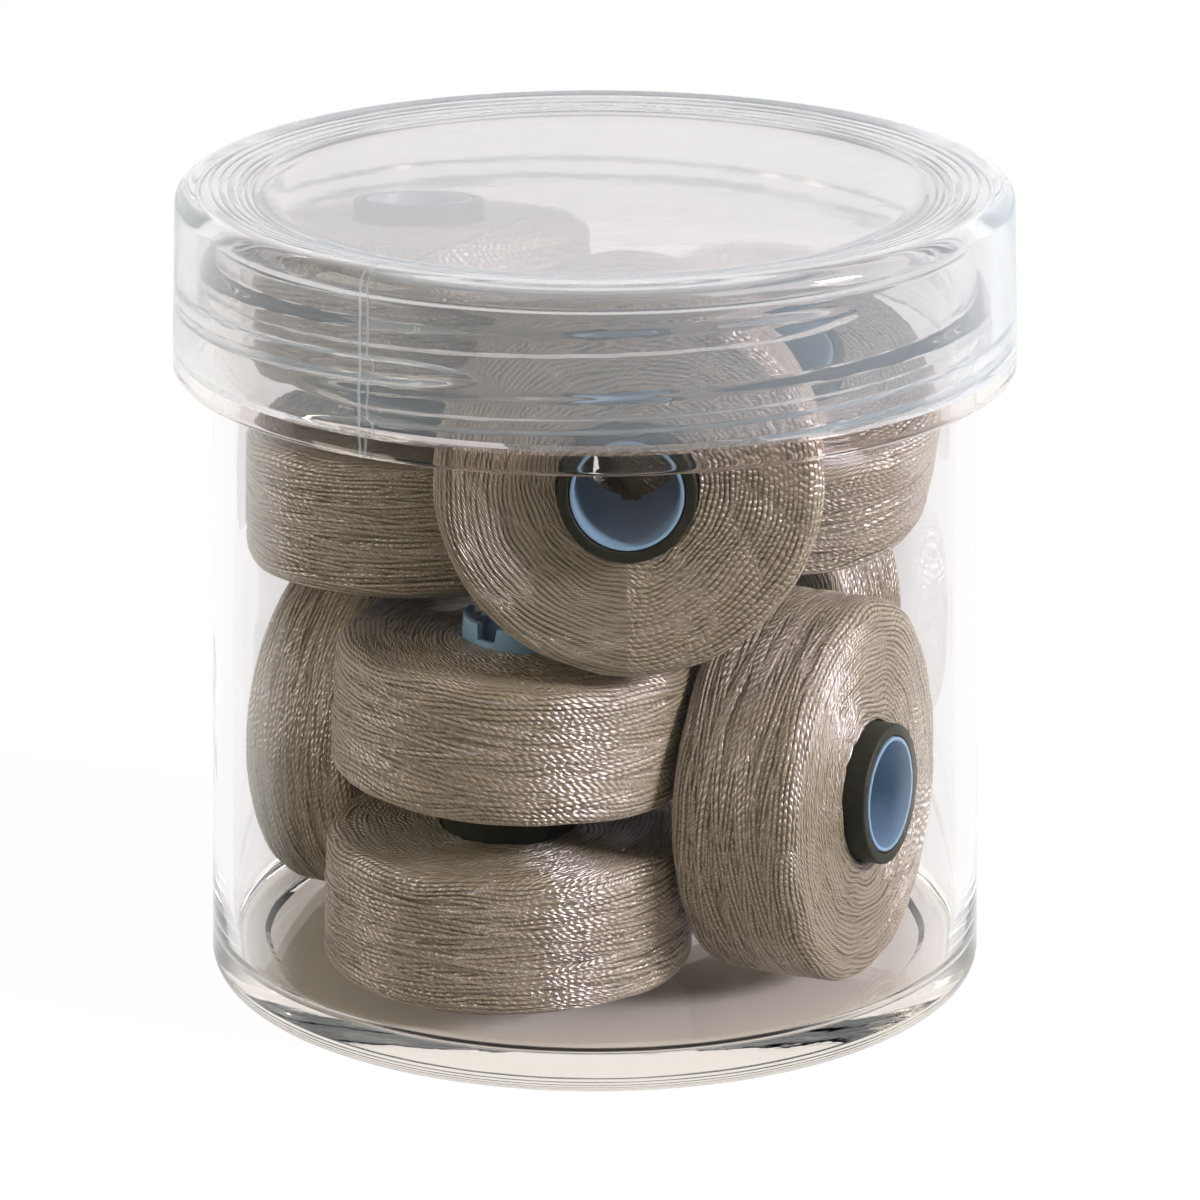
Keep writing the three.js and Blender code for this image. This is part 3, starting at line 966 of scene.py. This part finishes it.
def make_world():
    """A white room that is dark on the camera's side, with a softer strength for matt surfaces."""
    world = bpy.data.worlds.new("studio")
    bpy.context.scene.world = world
    world.use_nodes = True
    tree = world.node_tree
    tree.nodes.clear()
    path = node(tree, "ShaderNodeLightPath").outputs
    diffuse, camera = path["Is Diffuse Ray"], path["Is Camera Ray"]
    travel = node(tree, "ShaderNodeTexCoord").outputs["Generated"]
    behind = calc(tree, "MAXIMUM", away_from_camera(tree, travel), camera)
    seen = calc(tree, "MULTIPLY_ADD", behind, BACKDROP - SCREEN_DIM, SCREEN_DIM)
    hazy = path["Is Transmission Ray"]
    lit = calc(tree, "MULTIPLY_ADD", hazy, HAZE_LIGHT - AMBIENT, AMBIENT)
    shift = calc(tree, "MULTIPLY", diffuse, calc(tree, "SUBTRACT", lit, seen))
    strength = calc(tree, "ADD", seen, shift)
    clear = calc(tree, "SUBTRACT", 1.0, diffuse)
    mirrored = calc(tree, "MULTIPLY", path["Is Reflection Ray"], clear)
    mirrored = calc(tree, "MULTIPLY", mirrored, behind)
    strength = calc(tree, "MULTIPLY_ADD", mirrored, SCREEN - BACKDROP, strength)
    tint = mixed(tree, diffuse, (1.0, 0.968, 0.985), (1.0, 0.955, 0.78))
    tint = mixed(tree, camera, tint, (1.0, 1.0, 1.0))
    background = node(tree, "ShaderNodeBackground", {"Color": tint, "Strength": strength})
    node(tree, "ShaderNodeOutputWorld", {"Surface": background.outputs[0]})


def add_light(name, place, width, watts, colour, mirrored):
    data = bpy.data.lights.new(name, "AREA")
    data.shape = "SQUARE"
    data.size = width
    data.energy = watts
    data.color = colour
    light = bpy.data.objects.new(name, data)
    light.location = place
    light.rotation_euler = (Vector(AIM) - Vector(place)).to_track_quat("-Z", "Y").to_euler()
    light.visible_glossy = mirrored
    bpy.context.scene.collection.objects.link(light)


def add_camera():
    """A camera held level, with its frame shifted down, so that upright edges stay parallel. The
    shift is dropped when the camera is taken anywhere else."""
    data = bpy.data.cameras.new("camera")
    data.lens = LENS
    data.sensor_width = SENSOR
    camera = bpy.data.objects.new("camera", data)
    camera.location = CAMERA_HOME
    camera.rotation_euler = (math.radians(90), 0, 0)
    bpy.context.scene.collection.objects.link(camera)
    bpy.context.scene.camera = camera
    gone = " + ".join(f"abs({name} - ({value}))" for name, value in zip("xyz", CAMERA_HOME))
    for field, shift in CAMERA_SHIFT.items():
        driver = data.driver_add(field).driver
        driver.type = "SCRIPTED"
        for name in "xyz":
            variable = driver.variables.new()
            variable.name = name
            variable.type = "TRANSFORMS"
            variable.targets[0].id = camera
            variable.targets[0].transform_type = f"LOC_{name.upper()}"
        driver.expression = f"{shift} if {gone} < 0.0001 else 0.0"


def set_rendering():
    """Plain colours, and enough bounces for light to pass all the clear walls and turn inside."""
    scene = bpy.context.scene
    scene.view_settings.view_transform = "Standard"
    scene.cycles.transparent_max_bounces = STRAIGHT_BOUNCES
    scene.cycles.max_bounces = ALL_BOUNCES
    scene.cycles.transmission_bounces = GLASS_BOUNCES
    scene.cycles.glossy_bounces = GLASS_BOUNCES


def main():
    make_jar()
    make_lid()
    make_liner()
    thread, blue, black = thread_material(), core_material(), magnet_material()
    for label in BOBBINS:
        make_winding(label, thread)
        make_core(label, blue)
        make_magnet(label, black)
    make_floor()
    make_world()
    for name, settings in LIGHTS.items():
        add_light(name, *settings)
    add_camera()
    set_rendering()


main()
